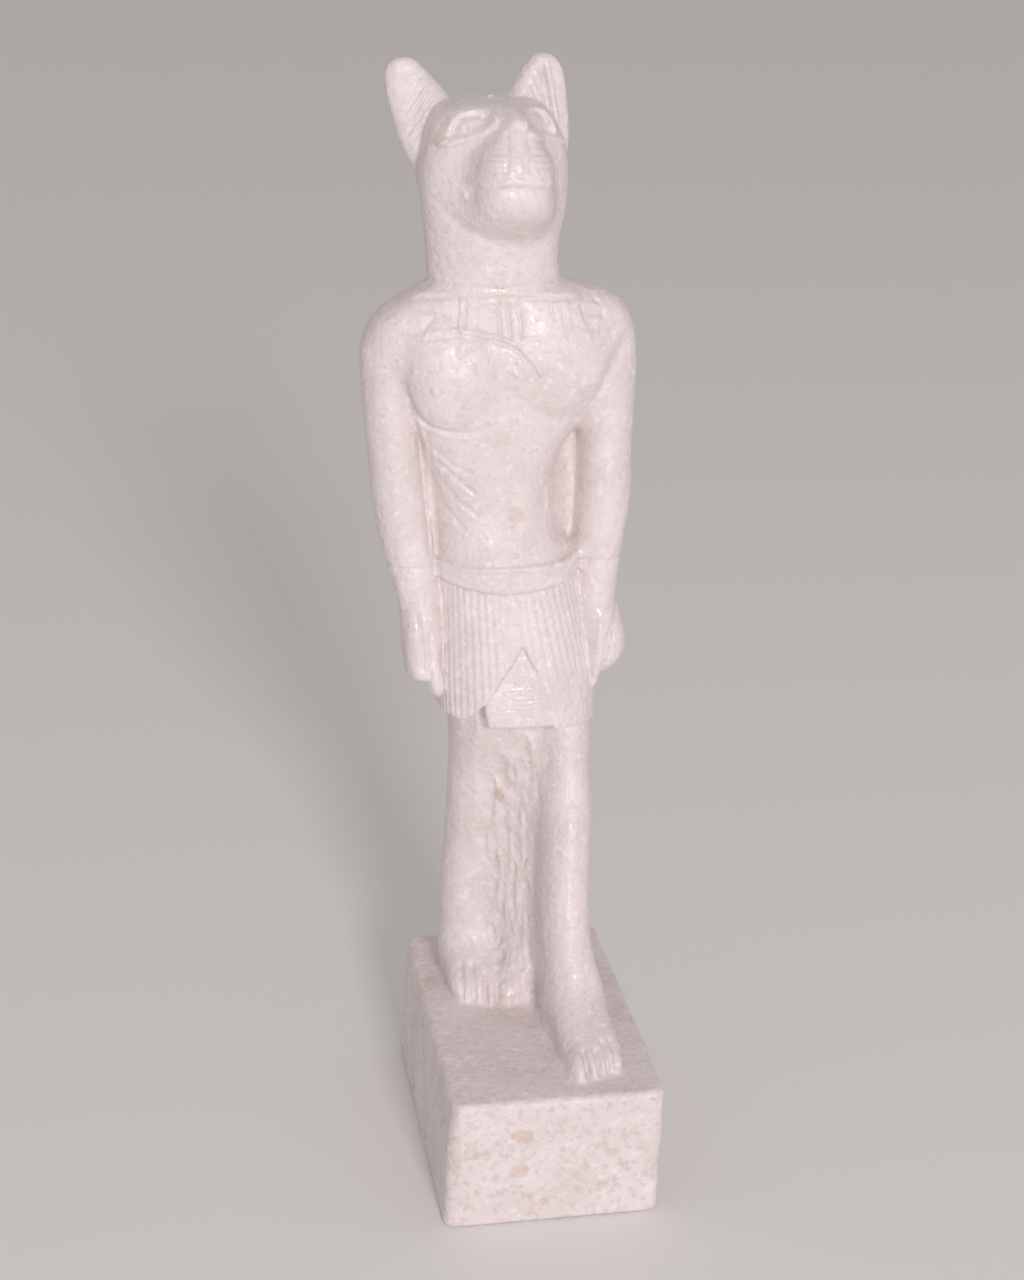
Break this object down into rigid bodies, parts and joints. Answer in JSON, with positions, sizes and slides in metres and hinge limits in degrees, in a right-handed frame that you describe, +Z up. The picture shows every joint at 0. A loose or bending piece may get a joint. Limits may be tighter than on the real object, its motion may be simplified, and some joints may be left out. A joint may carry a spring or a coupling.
{
  "type": "striding cat-headed goddess statuette on a plinth",
  "caption": "Striding cat-headed goddess in a pleated kilt and broad collar, carved in one with its oblong plinth from pale polished stone.",
  "frame": {"origin": "middle of the plinth's flat underside, the underside mount", "axes": "+Z up; the figure faces -Y with its leading foot; +X is towards the figure's own left"},
  "size_m": [0.0736, 0.102, 0.3],
  "materials": {
    "pale_stone": "polished, off-white with a pinkish cast, small grey flecks and beige angular inclusions"
  },
  "bodies": {
    "root": {"cat_goddess_statuette": "pale_stone"}
  },
  "joints": []
}
